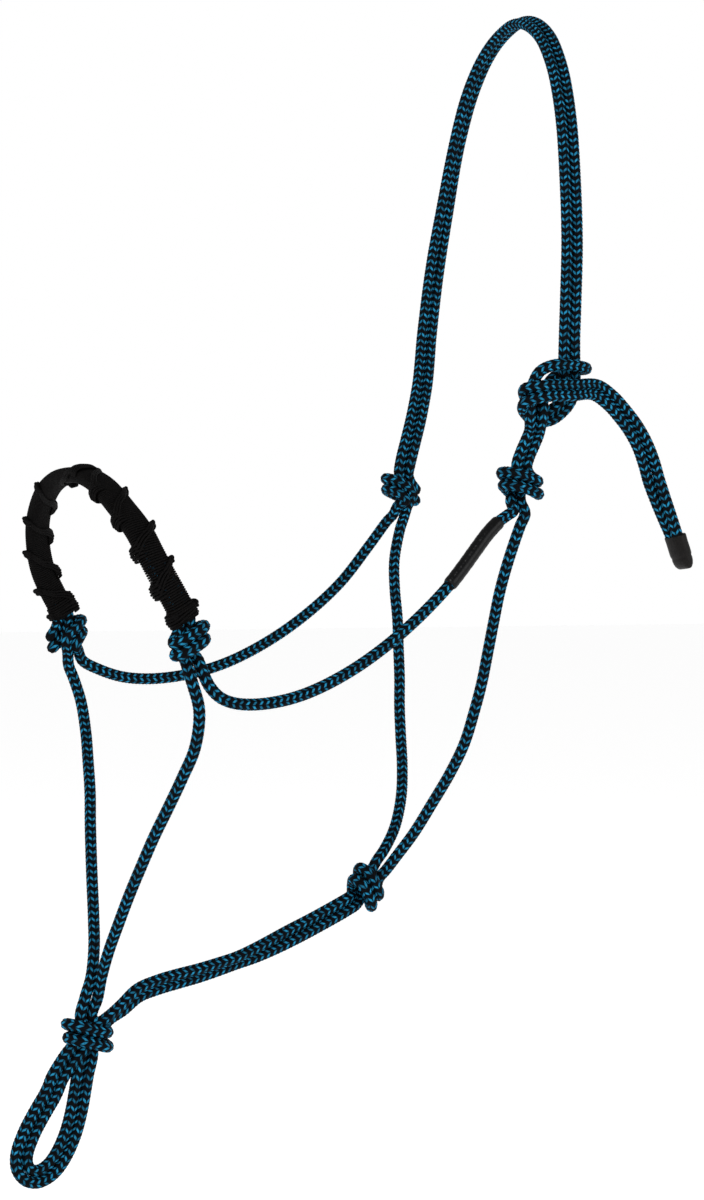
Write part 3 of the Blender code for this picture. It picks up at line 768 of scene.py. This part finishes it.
# ---------------------------------------------------------------- shrink sleeve
SLEEVE_R = 0.00395
COVERED = slice(3, 16)  # of the near cheek rope's points, 4 mm apart
coarse = smooth(smooth(near_cheek, 0.0115)[0], 0.004)[0]
sleeve_run = smooth(coarse[COVERED], 0.0006)[0]
q = np.linspace(0, 1, len(sleeve_run))
ripple = 0.00004 * np.sin(q * 61) + 0.00003 * np.sin(q * 143 + 1)
lip = 1 - 0.13 * np.exp(-q / 0.012) - 0.13 * np.exp(-(1 - q) / 0.012)
sleeve = tubes("sleeve_tube", [(sleeve_run, (SLEEVE_R + ripple) * lip)], shrink_mat, 40)
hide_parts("sleeve")
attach(sleeve, "cheeks")


# ---------------------------------------------------------------- crimped cap
def end_cap():
    """The cap on both tail ends: an oval tube, a crimped neck and a pinched chisel tip."""
    start, along = np.array((0.0452, -0.0905, -0.2919)), unit(np.array((0.32, -0.06, -0.95)))
    wide = np.array((0.1, -1.0, 0.0))
    wide = unit(wide - along * np.dot(wide, along))
    thin = np.cross(along, wide)
    # Along the cap, and half of its width and its thickness there, in mm.
    rings = (
        (1.5, 6.4, 3.4), (0.2, 6.6, 3.7), (0.0, 6.9, 4.0), (0.3, 7.2, 4.3), (0.9, 7.3, 4.45),
        (4.0, 7.3, 4.5), (8.0, 7.4, 4.5), (11.0, 7.4, 4.45), (11.8, 7.2, 4.3), (12.5, 6.9, 4.05),
        (13.2, 7.0, 4.1), (14.0, 7.1, 4.15), (15.8, 7.0, 3.8), (17.5, 6.6, 3.2), (18.7, 6.0, 2.2),
        (19.4, 5.3, 1.35), (19.6, 4.6, 0.9), (19.6, 0.0, 0.0),
    )
    n = 48
    ang = np.arange(n) * 2 * math.pi / n
    c = np.sign(np.cos(ang)) * np.abs(np.cos(ang)) ** 0.8
    s = np.sign(np.sin(ang)) * np.abs(np.sin(ang)) ** 0.8
    dent = 1 - 0.035 * np.cos(2 * ang + 0.6) * (np.abs(np.cos(ang)) > 0.4)
    verts = []
    for a, w, t in rings:
        soft = dent if a > 2 else np.ones(n)
        verts.append(start + along * a * 0.001 + wide * (w * c * soft)[:, None] * 0.001
                     + thin * (t * s * soft)[:, None] * 0.001)
    j, i = np.meshgrid(np.arange(len(rings) - 1), np.arange(n), indexing="ij")
    k = (i + 1) % n
    quads = np.stack((j * n + i, (j + 1) * n + i, (j + 1) * n + k, j * n + k), -1)
    return mesh_object("cap_shell", np.vstack(verts), quads.reshape(-1, 4), cap_mat)


cap = end_cap()
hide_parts("tail_cap")
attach(cap, "crown")

# ---------------------------------------------------------------- camera, floor and light
scene = bpy.context.scene
TARGET = Vector((-0.1105, 0.0, -0.328))
AZIMUTH, ELEVATION, DISTANCE = math.radians(28.0), math.radians(0.7), 1.53
camera_data = bpy.data.cameras.new("camera")
camera_data.sensor_fit = "VERTICAL"
camera_data.sensor_height = 24.0
camera_data.lens = 54.64
camera_data.clip_start, camera_data.clip_end = 0.05, 60.0
camera = bpy.data.objects.new("camera", camera_data)
toward = Vector((-math.sin(AZIMUTH) * math.cos(ELEVATION), -math.cos(AZIMUTH) * math.cos(ELEVATION),
                 math.sin(ELEVATION)))
camera.location = TARGET + toward * DISTANCE
camera.rotation_mode = "QUATERNION"
camera.rotation_quaternion = (-toward).to_track_quat("-Z", "Y")
scene.collection.objects.link(camera)
scene.camera = camera

floor_mesh = bpy.data.meshes.new("floor")
FLOOR_Z, FLOOR_HALF = -0.70, 14.0
floor_corners = [(x * FLOOR_HALF, y * FLOOR_HALF, FLOOR_Z) for x, y in ((-1, -1), (1, -1), (1, 1), (-1, 1))]
floor_mesh.from_pydata(floor_corners, [], [(0, 1, 2, 3)])
floor = bpy.data.objects.new("floor", floor_mesh)
scene.collection.objects.link(floor)
floor_look = Shader("floor", 1.0, specular=0.0)
floor_look.bsdf.inputs["Emission Color"].default_value = (1, 1, 1, 1)
floor_look.bsdf.inputs["Emission Strength"].default_value = 0.55
floor_mesh.materials.append(floor_look.colour((0.9, 0.9, 0.9, 1)))

world = bpy.data.worlds.new("studio")
world.use_nodes = True
sky = world.node_tree
sky.nodes["Background"].inputs["Color"].default_value = (1, 1, 1, 1)
height = sky.nodes.new("ShaderNodeSeparateXYZ")
sky.links.new(sky.nodes.new("ShaderNodeTexCoord").outputs["Generated"], height.inputs[0])
dim = sky.nodes.new("ShaderNodeMapRange")  # white round the horizon, dimmer overhead
for key, value in zip(("From Min", "From Max", "To Min", "To Max"), (0.30, 0.55, 1.0, 0.35)):
    dim.inputs[key].default_value = value
sky.links.new(height.outputs["Z"], dim.inputs["Value"])
sky.links.new(dim.outputs["Result"], sky.nodes["Background"].inputs["Strength"])
scene.world = world


def softbox(name, place, aim, size, power):
    data = bpy.data.lights.new(name, "AREA")
    data.shape, data.size, data.energy = "SQUARE", size, power
    ob = bpy.data.objects.new(name, data)
    ob.location = place
    ob.rotation_mode = "QUATERNION"
    ob.rotation_quaternion = (Vector(place) - Vector(aim)).to_track_quat("Z", "Y")
    scene.collection.objects.link(ob)


softbox("key", (-1.6, -1.5, 1.3), TARGET, 1.0, 22.0)
softbox("fill", (0.9, -1.9, 0.3), TARGET, 1.2, 8.0)
scene.view_settings.view_transform = "Standard"
scene.view_settings.look = "None"
scene.view_settings.exposure = 0.0
